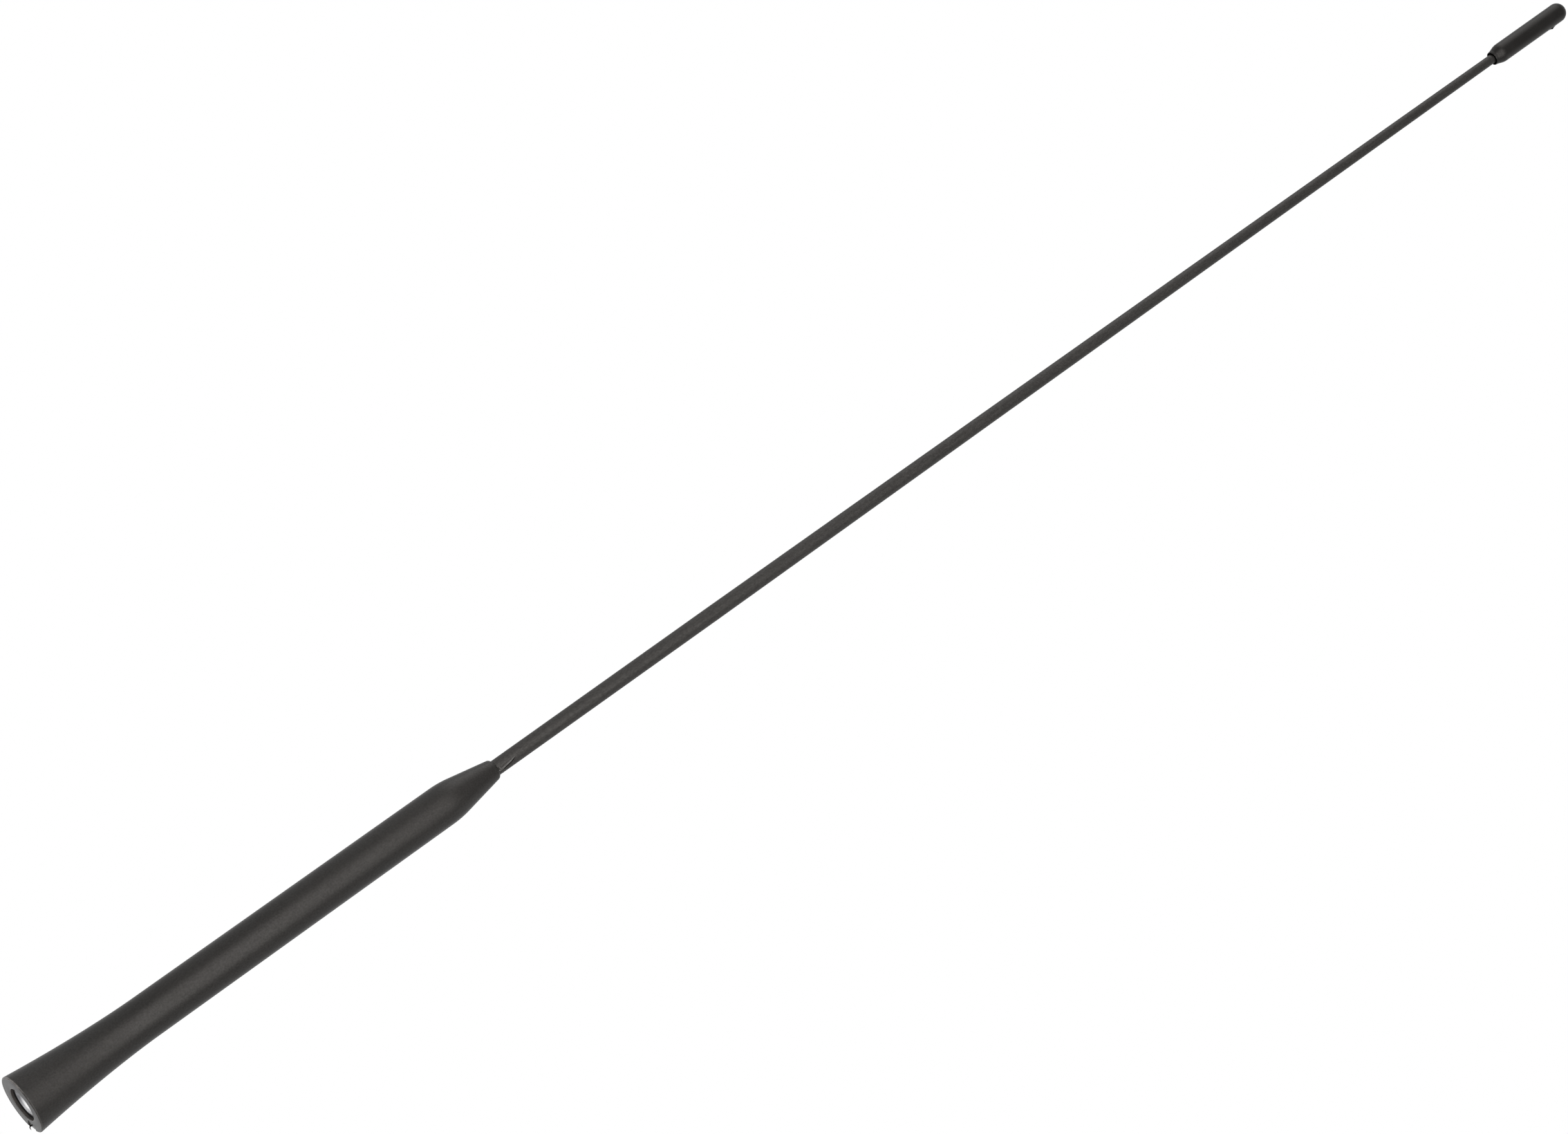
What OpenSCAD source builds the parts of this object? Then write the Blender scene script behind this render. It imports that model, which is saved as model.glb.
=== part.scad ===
// Car mast aerial: a flared grip moulded over a threaded ferrule, a slim tapered rod and a tip cap.
// The mast stands along +Z. The origin is the centre of the foot's end face.

/* [Mast] */
// Overall length, from the foot's end face to the tip of the cap
mast_l = 549.6; // [450:0.1:700]

/* [Base moulding] */
// Length of the base moulding, from the foot's end face to the mouth round the rod
base_l = 150.8; // [110:0.1:200]
// Diameter of the foot at its widest
foot_d = 16.5; // [15.6:0.1:22]
// Rounding of the foot's rim
foot_edge_r = 0.3; // [0.2:0.05:1]
// Length of the flare above the foot
flare_l = 38; // [25:0.5:55]
// Sweep of the flare: 1 is a straight cone, larger values hug the grip
flare_power = 1.7; // [1:0.05:2.5]
// Diameter of the grip where the flare ends
grip_d = 11.44; // [11:0.02:13]
// Diameter of the grip at the shoulder
grip_top_d = 10.96; // [9:0.02:11]
// Length of the cone between the shoulder and the mouth
cone_l = 15; // [10:0.1:25]
// Radius that rounds the shoulder
shoulder_r = 30; // [5:0.5:40]
// Diameter of the cone where it reaches the mouth
cone_tip_d = 5.42; // [5:0.02:7]
// Rounding of the cone's end
cone_edge_r = 1.2; // [0.1:0.05:1.3]

/* [Foot recess and gate] */
// Diameter of the recess in the foot's end face
recess_d = 9.46; // [8:0.02:10]
// Depth of the recess, from the end face to the ferrule
recess_depth = 1; // [0.4:0.1:2]
// Direction of the moulding gate, counted from +X towards +Y
gate_azimuth = 38; // [0:1:360]
// Diameter of the shallow recess that the gate sits in
gate_recess_d = 3.1; // [2:0.1:4]
// Depth of the gate recess
gate_recess_depth = 0.35; // [0.1:0.05:0.6]
// Distance from the foot's widest circle in to the centre of the gate recess
gate_inset = 1.1; // [0.6:0.1:1.5]
// Width of the gate stub left at the rim
gate_stub_w = 0.8; // [0.4:0.05:1.2]
// Thickness of the gate stub
gate_stub_t = 0.45; // [0.2:0.05:0.8]
// How far the gate stub stands out of the end face
gate_stub_proud = 0.4; // [0.1:0.05:0.6]
// How far the stub's end leans sideways, along the rim
gate_stub_lean = 0.55; // [0:0.05:1]

/* [Flash at the mouth] */
// Length of the leaf of flash that lies on the rod
flash_l = 5.6; // [2:0.1:8]
// Thickness of the leaf
flash_t = 0.16; // [0.1:0.01:0.3]
// Width of the leaf at the mouth
flash_root_w = 0.55; // [0.3:0.05:0.8]
// Width of the leaf at its end
flash_tip_w = 0.25; // [0.1:0.05:0.5]
// Sideways place of the leaf's root, from the mast's axis
flash_root_x = 0.85; // [0:0.05:1]
// Sideways place of the leaf's end, from the mast's axis
flash_tip_x = 0.2; // [0:0.05:1]

/* [Threaded ferrule] */
// Diameter of the bore of the female thread
thread_bore_d = 4.2; // [3.2:0.1:5]
// Depth of the female thread
thread_depth = 12; // [8:0.5:16]
// Length of the drill's point below the thread
drill_point_l = 1.2; // [0.5:0.1:1.6]
// Diameter of the countersink at the mouth of the thread
countersink_d = 7.2; // [5.1:0.1:7.4]
// Diameter of the flange behind the recess
flange_d = 10.4; // [10.2:0.1:11]
// Thickness of the flange
flange_t = 3; // [1.5:0.1:5]
// Bevel on both edges of the flange
flange_bevel = 0.3; // [0.1:0.05:0.6]
// Diameter of the groove between flange and knurl
groove_d = 7.4; // [6.8:0.1:7.8]
// Length of the groove
groove_l = 2.5; // [1:0.1:4]
// Diameter across the knurl's ridges
knurl_d = 8.8; // [8.2:0.1:9.2]
// Depth of the knurl
knurl_depth = 0.35; // [0.15:0.05:0.45]
// Number of knurl ridges
knurl_n = 30; // [20:1:40]
// Length of the knurled band
knurl_l = 9; // [6:0.5:12]
// Diameter of the ferrule's tail
tail_d = 6; // [5.4:0.1:6.6]
// Length of the ferrule's tail
tail_l = 15; // [12:0.5:20]
// Number of crimp rings pressed into the tail
crimp_n = 3; // [1:1:4]
// Width of a crimp ring
crimp_w = 1.2; // [0.6:0.1:1.6]
// Depth of a crimp ring
crimp_depth = 0.25; // [0.1:0.05:0.4]
// Depth of the socket that holds the rod
socket_depth = 13; // [8:0.5:14]

/* [Rod] */
// Outside diameter of the sheathed rod along its straight part
rod_d = 4.24; // [4.04:0.02:4.5]
// Outside diameter of the rod at its top end, inside the cap
rod_top_d = 2.58; // [2.4:0.02:2.8]
// Height above the foot at which the taper starts
taper_start = 225; // [180:1:300]
// Wall of the sheath
sheath_wall = 0.3; // [0.2:0.01:0.35]

/* [Wire] */
// Diameter of the wound wire
wire_d = 0.3; // [0.2:0.01:0.32]
// Number of turns from end to end
wire_turns = 60; // [20:1:60]
// Distance from each end of the core to the first and last turn
wire_inset = 1; // [0.5:0.1:3]

/* [Tip cap] */
// Length of the cap
cap_l = 29.4; // [24:0.1:40]
// Diameter of the cap where its cone ends
cap_d = 5.6; // [5.2:0.02:6.5]
// Diameter of the domed end
cap_end_d = 5.58; // [4.8:0.02:5.6]
// Diameter of the open mouth round the rod
cap_mouth_d = 3.7; // [3:0.05:3.75]
// Depth of the funnel behind the mouth
cap_funnel_l = 3; // [0.5:0.1:4]
// Diameter of the lip round the mouth
cap_lip_d = 4; // [3.9:0.02:4.2]
// Length of the lip
cap_lip_l = 0.8; // [0.5:0.1:1.5]
// Rounding of the lip's outer edge
cap_lip_edge_r = 0.08; // [0.05:0.01:0.15]
// Diameter at which the lip ends and the cap's cone starts
cap_cone_d = 4.26; // [4.2:0.02:4.6]
// Length of the cap's cone
cap_cone_l = 2.2; // [1.5:0.1:4]
// Radius that rounds the cone into the body
cap_shoulder_r = 2; // [0.5:0.1:3]
// Depth of the cap's bore from its mouth
cap_bore_depth = 24; // [15:0.5:25]
// Length of the burr on the side of the cap
burr_l = 1.4; // [0.5:0.1:2]
// Height of the burr
burr_h = 0.28; // [0.1:0.02:0.4]
// Width of the burr
burr_w = 0.4; // [0.2:0.05:0.8]
// Distance from the tip of the cap to the middle of the burr
burr_from_tip = 7.2; // [5:0.1:12]

/* [Fits] */
// Radial clearance between nested round pieces
fit_clearance = 0.03; // [0.01:0.01:0.05]
// Radial clearance between the core and the wire wound on it
winding_clearance = 0.06; // [0.05:0.01:0.1]

/* [Hidden] */
$fn = 96;

// Amount by which a cutting shape reaches past the face that it opens
overshoot = 1;
// Amount by which an added lug is rooted in the wall that carries it
root = 0.3;
// Steps in which a rounded corner or the flare is drawn
corner_steps = 8;
flare_steps = 16;
dome_steps = 14;
// Sides of the wire's section and rings in each of its turns
wire_sides = 5;
wire_rings = 12;

// Heights of the ferrule's features above the foot's end face
ferrule_z = recess_depth;
groove_z = ferrule_z + flange_t;
knurl_z = groove_z + groove_l;
tail_z = knurl_z + knurl_l;
ferrule_top_z = tail_z + tail_l;
socket_floor_z = ferrule_top_z - socket_depth;

// Heights of the moulding's features
shoulder_z = base_l - cone_l;

// Heights of the cap's features and of the rod's top end, which rests on the floor of the cap's bore
cap_z = mast_l - cap_l;
cap_cone_z = cap_z + cap_lip_l;
cap_body_z = cap_cone_z + cap_cone_l;
dome_z = mast_l - cap_end_d / 2;
rod_top_z = cap_z + cap_bore_depth;

// Radial thickness of everything wound or drawn over the core
cover_t = sheath_wall + fit_clearance + wire_d + winding_clearance;
// Bore of the ferrule's socket, which takes the core with its wire
socket_d = rod_d - 2 * sheath_wall;

// Outer radius of the sheathed rod at a height
function rod_r(z) =
  let (share = max(0, (z - taper_start) / (rod_top_z - taper_start)))
  rod_d / 2 + share * (rod_top_d - rod_d) / 2;

// Radius of the flare at a height
function flare_r(z) = grip_d / 2 + (foot_d - grip_d) / 2 * pow(1 - z / flare_l, flare_power);

// Vector of length one
function unit(v) = v / norm(v);

// Vector turned about the origin by an angle
function turned(v, angle) = [
  v[0] * cos(angle) - v[1] * sin(angle), v[0] * sin(angle) + v[1] * cos(angle)
];

// Points of an arc of radius r that rounds the corner b of the path a, b, c
function rounded(a, b, c, r) =
  let (
    to_a = unit(a - b),
    to_c = unit(c - b),
    half = acos(to_a * to_c) / 2,
    centre = b + unit(to_a + to_c) * r / sin(half),
    start = b + to_a * r / tan(half) - centre,
    sweep = (180 - 2 * half) * (cross(to_a, to_c) > 0 ? -1 : 1)
  )
  [for (i = [0:corner_steps]) centre + turned(start, sweep * i / corner_steps)];

// Outside of the base moulding as a half section
function base_outline() =
  let (
    rim = [flare_r(0), 0],
    shoulder = [grip_top_d / 2, shoulder_z],
    mouth = [cone_tip_d / 2, base_l],
    flare_foot = [flare_r(foot_edge_r * 2), foot_edge_r * 2]
  )
  concat(
    [[0, 0]],
    rounded([0, 0], rim, flare_foot, foot_edge_r),
    [for (i = [1:flare_steps]) let (z = flare_l * i / flare_steps) [flare_r(z), z]],
    rounded([grip_d / 2, flare_l], shoulder, mouth, shoulder_r),
    rounded(shoulder, mouth, [0, base_l], cone_edge_r),
    [[0, base_l]]
  );

// Outside of the ferrule, larger by a radial clearance where it shapes the moulding round it
module ferrule_body(clearance) {
  bevel_r = flange_d / 2 - flange_bevel;
  rotate_extrude()
    polygon([
      [0, ferrule_z],
      [bevel_r + clearance, ferrule_z],
      [flange_d / 2 + clearance, ferrule_z + flange_bevel],
      [flange_d / 2 + clearance, groove_z - flange_bevel],
      [bevel_r + clearance, groove_z],
      [groove_d / 2 + clearance, groove_z],
      [groove_d / 2 + clearance, knurl_z],
      [tail_d / 2 + clearance, knurl_z],
      [tail_d / 2 + clearance, ferrule_top_z],
      [0, ferrule_top_z]
    ]);
  translate([0, 0, knurl_z])
    linear_extrude(knurl_l)
      knurl_section(clearance);
}

// Section of the knurled band: a ring of pointed ridges
module knurl_section(clearance) {
  ridge_r = knurl_d / 2 + clearance;
  polygon([
    for (i = [0:2 * knurl_n - 1])
      let (r = ridge_r - (i % 2) * knurl_depth, angle = 180 * i / knurl_n)
      r * [cos(angle), sin(angle)]
  ]);
}

// Rings that the crimping tool presses into the ferrule's tail
module crimp_rings() {
  spacing = tail_l / (crimp_n + 1);
  for (i = [1:crimp_n])
    translate([0, 0, tail_z + spacing * i - crimp_w / 2])
      difference() {
        cylinder(h = crimp_w, d = tail_d + overshoot);
        cylinder(h = crimp_w, d = tail_d - 2 * crimp_depth);
      }
}

// Female thread's bore with its countersink and drill point
module thread_bore() {
  bore_r = thread_bore_d / 2;
  sink_depth = (countersink_d - thread_bore_d) / 2;
  translate([0, 0, ferrule_z])
    rotate_extrude()
      polygon([
        [0, -overshoot],
        [countersink_d / 2, -overshoot],
        [countersink_d / 2, 0],
        [bore_r, sink_depth],
        [bore_r, thread_depth],
        [0, thread_depth + drill_point_l]
      ]);
}

// Gate recess: a shallow round pocket that opens through the foot's rim
module gate_recess() {
  rotate([0, 0, gate_azimuth])
    translate([foot_d / 2 - gate_inset, 0, -overshoot]) {
      cylinder(h = gate_recess_depth + overshoot, d = gate_recess_d);
      translate([0, -gate_recess_d / 2, 0])
        cube([gate_inset + overshoot, gate_recess_d, gate_recess_depth + overshoot]);
    }
}

// Stub of the broken gate: a leaning spike that tapers from the floor of the gate recess
module gate_stub() {
  stub_azimuth = gate_azimuth + asin(gate_stub_w / foot_d * 2);
  root_z = gate_recess_depth + root;
  half_w = gate_stub_w / 2;
  rotate([0, 0, stub_azimuth])
    translate([foot_d / 2 - foot_edge_r / 2 - gate_stub_t, 0, 0])
      rotate([90, 0, 90])
        linear_extrude(gate_stub_t)
          polygon([
            [half_w, root_z],
            [-half_w, root_z],
            [-half_w, 0],
            [-half_w / 2 - gate_stub_lean, -gate_stub_proud],
            [half_w / 2 - gate_stub_lean, -gate_stub_proud],
            [half_w, 0]
          ]);
}

// Leaf of flash that lies on the rod in front of the mouth, on the -Y side
module flash_leaf() {
  inner_r = rod_d / 2 + fit_clearance;
  start_z = base_l - 2 * root;
  intersection() {
    translate([0, 0, start_z])
      difference() {
        cylinder(h = flash_l + 2 * root, r = inner_r + flash_t);
        translate([0, 0, -overshoot])
          cylinder(h = flash_l + 2 * root + 2 * overshoot, r = inner_r);
      }
    rotate([90, 0, 0])
      linear_extrude(rod_d)
        polygon([
          [flash_root_x - flash_root_w / 2, start_z],
          [flash_root_x + flash_root_w / 2, start_z],
          [flash_tip_x + flash_tip_w / 2, base_l + flash_l],
          [flash_tip_x - flash_tip_w / 2, base_l + flash_l]
        ]);
  }
}

module base_moulding() {
  color([0.08, 0.08, 0.08])
    union() {
      difference() {
        rotate_extrude()
          polygon(base_outline());
        translate([0, 0, -overshoot])
          cylinder(h = recess_depth + overshoot, d = recess_d);
        ferrule_body(fit_clearance);
        translate([0, 0, ferrule_top_z])
          cylinder(h = base_l, r = rod_d / 2 + fit_clearance);
        gate_recess();
      }
      gate_stub();
      flash_leaf();
    }
}

module threaded_ferrule() {
  color([0.75, 0.75, 0.74])
    difference() {
      ferrule_body(0);
      thread_bore();
      crimp_rings();
      translate([0, 0, socket_floor_z])
        cylinder(h = socket_depth + overshoot, d = socket_d);
    }
}

module core_rod() {
  color([0.85, 0.82, 0.66])
    rotate_extrude()
      polygon([
        [0, socket_floor_z],
        [rod_d / 2 - cover_t, socket_floor_z],
        [rod_d / 2 - cover_t, taper_start],
        [rod_top_d / 2 - cover_t, rod_top_z],
        [0, rod_top_z]
      ]);
}

// Point of the wire's section: ring i along the winding, side j round the section
function wire_point(i, j) =
  let (
    rings = wire_turns * wire_rings,
    bottom = socket_floor_z + wire_inset,
    rise = rod_top_z - wire_inset - bottom,
    z = bottom + rise * i / rings,
    angle = 360 * i / wire_rings,
    r = rod_r(z) - cover_t + winding_clearance + wire_d / 2,
    slope = atan(rise / (wire_turns * 2 * PI * r)),
    out = [cos(angle), sin(angle), 0],
    across = [-sin(slope) * sin(angle), sin(slope) * cos(angle), -cos(slope)],
    around = 360 * (j + 0.5) / wire_sides
  )
  r * out + [0, 0, z] + wire_d / 2 * (cos(around) * out + sin(around) * across);

module antenna_wire() {
  last_ring = wire_turns * wire_rings;
  points = [for (i = [0:last_ring]) for (j = [0:wire_sides - 1]) wire_point(i, j)];
  walls = [
    for (i = [0:last_ring - 1])
      for (j = [0:wire_sides - 1])
        let (a = i * wire_sides + j, b = i * wire_sides + (j + 1) % wire_sides)
        each [[a, a + wire_sides, b + wire_sides], [a, b + wire_sides, b]]
  ];
  start_cap = [for (j = [0:wire_sides - 1]) j];
  end_cap = [for (j = [wire_sides - 1:-1:0]) last_ring * wire_sides + j];
  color([0.75, 0.42, 0.2])
    polyhedron(points = points, faces = concat(walls, [start_cap, end_cap]));
}

module rod_sheath() {
  color([0.1, 0.1, 0.1])
    rotate_extrude()
      polygon([
        [rod_d / 2 - sheath_wall, ferrule_top_z],
        [rod_d / 2, ferrule_top_z],
        [rod_d / 2, taper_start],
        [rod_top_d / 2, rod_top_z],
        [rod_top_d / 2 - sheath_wall, rod_top_z],
        [rod_d / 2 - sheath_wall, taper_start]
      ]);
}

// Outside of the cap as a half section, from the mouth to the tip
function cap_outline() =
  let (
    end_r = cap_end_d / 2,
    lip_edge = [cap_lip_d / 2, cap_z],
    cone_start = [cap_cone_d / 2, cap_cone_z],
    body_start = [cap_d / 2, cap_body_z],
    body_end = [end_r, dome_z]
  )
  concat(
    [[0, cap_z]],
    rounded([0, cap_z], lip_edge, cone_start, cap_lip_edge_r),
    [cone_start],
    rounded(cone_start, body_start, body_end, cap_shoulder_r),
    [for (i = [0:dome_steps - 1]) body_end + end_r * [cos(90 * i / dome_steps) - 1, sin(90 * i / dome_steps)]],
    [[0, mast_l]]
  );

// Bore of the cap: a funnel at the mouth, then a close fit on the tapered rod
module cap_bore() {
  funnel_end_z = cap_z + cap_funnel_l;
  rotate_extrude()
    polygon([
      [0, cap_z - overshoot],
      [cap_mouth_d / 2, cap_z - overshoot],
      [cap_mouth_d / 2, cap_z],
      [rod_r(funnel_end_z) + fit_clearance, funnel_end_z],
      [rod_r(rod_top_z) + fit_clearance, rod_top_z],
      [0, rod_top_z]
    ]);
}

// Burr left by the mould on the +X side of the cap
module cap_burr() {
  wall_x = cap_end_d / 2 - root;
  translate([0, burr_w / 2, mast_l - burr_from_tip])
    rotate([90, 0, 0])
      linear_extrude(burr_w)
        polygon([
          [wall_x, -burr_l / 2],
          [wall_x + root, -burr_l / 2],
          [wall_x + root + burr_h, 0],
          [wall_x + root, burr_l / 2],
          [wall_x, burr_l / 2]
        ]);
}

module tip_cap() {
  color([0.05, 0.05, 0.05])
    union() {
      difference() {
        rotate_extrude()
          polygon(cap_outline());
        cap_bore();
      }
      cap_burr();
    }
}

base_moulding();
threaded_ferrule();
core_rod();
antenna_wire();
rod_sheath();
tip_cap();
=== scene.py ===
import math

import bpy
import bmesh
from mathutils import Matrix, Vector


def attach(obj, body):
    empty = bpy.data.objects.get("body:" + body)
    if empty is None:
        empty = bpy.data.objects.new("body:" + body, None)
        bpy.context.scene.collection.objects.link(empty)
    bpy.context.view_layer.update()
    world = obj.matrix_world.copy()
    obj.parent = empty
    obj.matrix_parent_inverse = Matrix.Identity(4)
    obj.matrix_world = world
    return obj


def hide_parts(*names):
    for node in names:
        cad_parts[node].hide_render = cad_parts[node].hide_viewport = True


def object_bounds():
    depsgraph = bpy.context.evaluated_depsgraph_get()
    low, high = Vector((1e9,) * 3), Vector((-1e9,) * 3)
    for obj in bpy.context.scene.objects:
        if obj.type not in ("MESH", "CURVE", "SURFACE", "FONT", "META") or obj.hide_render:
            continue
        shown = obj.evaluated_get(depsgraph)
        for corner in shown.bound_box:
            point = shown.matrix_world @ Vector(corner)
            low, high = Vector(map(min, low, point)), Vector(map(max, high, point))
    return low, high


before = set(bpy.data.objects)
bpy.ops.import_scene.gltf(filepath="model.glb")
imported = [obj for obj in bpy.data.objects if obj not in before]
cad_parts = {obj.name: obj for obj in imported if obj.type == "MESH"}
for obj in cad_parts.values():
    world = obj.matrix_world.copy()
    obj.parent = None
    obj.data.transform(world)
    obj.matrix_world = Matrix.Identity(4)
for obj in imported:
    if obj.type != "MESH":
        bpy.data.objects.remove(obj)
cad_low, cad_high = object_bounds()

MM = 0.001

# Photograph
PHOTO_WIDTH = 2268
PHOTO_HEIGHT = 1640
SENSOR_WIDTH_MM = 36.0
LENS_MM = 118.9
# Pixel at which the centre of the foot's end face shows, and its depth from the camera in metres
FOOT_PIXEL = (31.3, 1598.4)
FOOT_DEPTH = 1.2702
# The mast's slope up from the picture's lower edge, and how far its tip leans from the camera
MAST_SLOPE = math.radians(35.45)
MAST_LEAN = math.radians(23.4)

# Stage, in metres
FLOOR_Z = -0.45
FLOOR_RADIUS = 0.8
LAMP_DISTANCE = 2.5
# A soft lamp's area lamps: how far they stand behind each other, and their sizes
LAMP_GAP = 0.02
LAMP_GROWTH = (0.7, 1.0, 1.3)

# Tint of the black plastics' reflections, a little warmer than neutral
WARM_TINT = (1, 0.955, 0.912, 1)

# Shading: an edge sharper than this is kept, and a rounded corner's steps are blunter
SHARP_ANGLE = math.radians(28)

# From here on, sizes are in millimetres, as in the solids, and a ring or corner is (radius, height)
SIDES = 120
CLEARANCE = 0.03

# Base moulding: flared foot, grip, shoulder and cone
BASE_L = 150.8
FOOT_R = 8.25
FLARE_L = 38
FLARE_POWER = 1.7
FLARE_STEPS = 48
GRIP_R = 5.72
GRIP_TOP_R = 5.48
SHOULDER_Z = 135.8
CONE_TIP_R = 2.71
RIM_TOP_Z = 0.6
RIM_ROUND_R = 0.3
SHOULDER_ROUND_R = 30
MOUTH_ROUND_R = 1.2

# End face: the recess in it, the depth by which it is dished, and the dish's rise to the rim
RECESS_R = 4.73
RECESS_EDGE = 0.1
FACE_DISH = 0.1
FACE_RISE = ((7.25, FACE_DISH), (7.4, FACE_DISH - 0.01), (7.8, 0))

# Gate recess at the foot's rim
GATE_AZIMUTH = math.radians(38)
GATE_R = 1.55
GATE_CENTRE = 7.15
GATE_REACH = 4
GATE_DEPTH = 0.35
# Its walls as (height, distance outside its plain outline)
GATE_WALLS = ((-1, 0.3), (0, 0.3), (GATE_DEPTH - 0.08, 0), (GATE_DEPTH, -0.12))
# Gate stub as (radius, azimuth in degrees, height, half width, half thickness)
GATE_STUB = (
    (7.83, 46.4, 0.60, 0.28, 0.22),
    (7.83, 46.2, 0.20, 0.26, 0.20),
    (7.84, 45.5, -0.05, 0.22, 0.18),
    (7.87, 44.0, -0.25, 0.18, 0.16),
    (7.90, 41.8, -0.38, 0.13, 0.13),
    (7.94, 39.2, -0.46, 0.09, 0.09),
    (7.96, 37.4, -0.47, 0.04, 0.04),
)

# Leaf of flash at the base's mouth: its start, length, -X edge and width
FLASH_Z = 150.2
FLASH_L = 6.1
FLASH_EDGE = -0.28
FLASH_W = 0.84
# Its middle as (height, distance from the axis as seen from -Y)
FLASH_PATH = ((150.2, 1.15), (151.5, 1.06), (152.3, 0.98), (154.2, 0.76), (156.3, 0.45))
# Its section as (place across, lift off the rod), with the groove where the lift drops to 0
FLASH_SECTION = (
    (-0.28, 0), (-0.24, 0.20), (-0.18, 0.28), (0.12, 0.30), (0.16, 0.28), (0.18, 0),
    (0.46, 0), (0.48, 0.18), (0.52, 0.16), (0.56, 0),
)
# How much of that section is there, as (place along, share)
FLASH_FADE = ((0, 0.3), (0.2, 0.4), (0.32, 1), (0.8, 0.9), (1, 0.05))
# How deep it sits in the rod's surface, and its thickness in the groove
FLASH_SINK = 0.02
FLASH_SKIN = 0.01

# Crumb of flash: its middle as distance from the axis, lift and height, and its half size
CRUMB_ACROSS = 0.78
CRUMB_LIFT = 0.12
CRUMB_Z = 151.27
CRUMB_REACH = 0.45
CRUMB_SLANT = 0.3
CRUMB_R = 0.22
CRUMB_TIP_R = 0.03

# Ferrule: flange, groove, knurled band, tail with its crimps, and the rod's socket
FERRULE_Z = 1
FLANGE_R = 5.2
BEVEL = 0.3
GROOVE_Z = 4
GROOVE_R = 3.7
KNURL_Z = 6.5
KNURL_R = 4.4
KNURL_DEPTH = 0.35
KNURL_RIDGES = 30
TAIL_Z = 15.5
TAIL_R = 3
CRIMPS_Z = (19.25, 23, 26.75)
CRIMP_DEPTH = 0.25
CRIMP_HALF_W = 0.6
FERRULE_TOP_Z = 30.5
SOCKET_FLOOR_Z = 17.5
SOCKET_R = 1.82

# Thread in the ferrule, and the uneven countersink at its mouth
BORE_R = 2.1
DRILL_POINT = 1.2
THREAD_PITCH = 0.8
THREAD_HEIGHT = 0.4
THREAD_FLANK = math.radians(30)
THREAD_END_Z = 13
THREAD_STEPS = 180
COUNTERSINK_R = 3.6
COUNTERSINK_SPREAD = 0.25
COUNTERSINK_SHIFT = 0.3
COUNTERSINK_SLOPE = 2.1

# Sheath round the rod, straight up to where its taper starts
ROD_R = 2.12
ROD_TOP_R = 1.29
TAPER_Z = 225
SHEATH_WALL = 0.3

# Tip cap: funnel, lip, cone, body and domed end
CAP_Z = 520.2
CAP_MOUTH_R = 1.85
CAP_FUNNEL_Z = 523.2
CAP_LIP_R = 2
CAP_LIP_ROUND_R = 0.08
CAP_CONE_R = 2.13
CAP_CONE_Z = 521
CAP_CONE_ROUND_R = 3
CAP_BODY_Z = 523.2
CAP_BODY_ROUND_R = 5
CAP_R = 2.8
CAP_END_R = 2.79
CAP_BORE_END_Z = 544.2
DOME_STEPS = 32
MAST_L = 549.6
# Burr on the cap: the height of its peak, and its outline as (distance along the mast, lift)
BURR_Z = 542.65
BURR_SINK = 0.1
BURR = (
    (-1.3, 0), (-0.9, 0.05), (-0.5, 0.15), (-0.2, 0.31), (0, 0.38),
    (0.3, 0.29), (0.7, 0.17), (1.1, 0.07), (1.5, 0),
)


def point_camera():
    """Puts the camera where the photograph was taken, with the mast along +Z and seen from -Y."""
    mast = Vector((
        math.cos(MAST_LEAN) * math.cos(MAST_SLOPE),
        math.cos(MAST_LEAN) * math.sin(MAST_SLOPE),
        -math.sin(MAST_LEAN),
    ))
    away = Vector((0, 0, -1))
    back = (away - away.dot(mast) * mast).normalized()
    side = back.cross(mast)
    # The rows are the frame's axes as the camera sees them, so this turns camera space to frame
    to_frame = Matrix((side, back, mast))
    focal_px = LENS_MM / SENSOR_WIDTH_MM * PHOTO_WIDTH
    foot = Vector((
        (FOOT_PIXEL[0] - PHOTO_WIDTH / 2) / focal_px * FOOT_DEPTH,
        (PHOTO_HEIGHT / 2 - FOOT_PIXEL[1]) / focal_px * FOOT_DEPTH,
        -FOOT_DEPTH,
    ))
    data = bpy.data.cameras.new("camera")
    data.sensor_fit = "HORIZONTAL"
    data.sensor_width = SENSOR_WIDTH_MM
    data.lens = LENS_MM
    data.clip_start = 0.01
    camera = bpy.data.objects.new("camera", data)
    camera.matrix_world = Matrix.Translation(-(to_frame @ foot)) @ to_frame.to_4x4()
    bpy.context.scene.collection.objects.link(camera)
    bpy.context.scene.camera = camera


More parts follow.
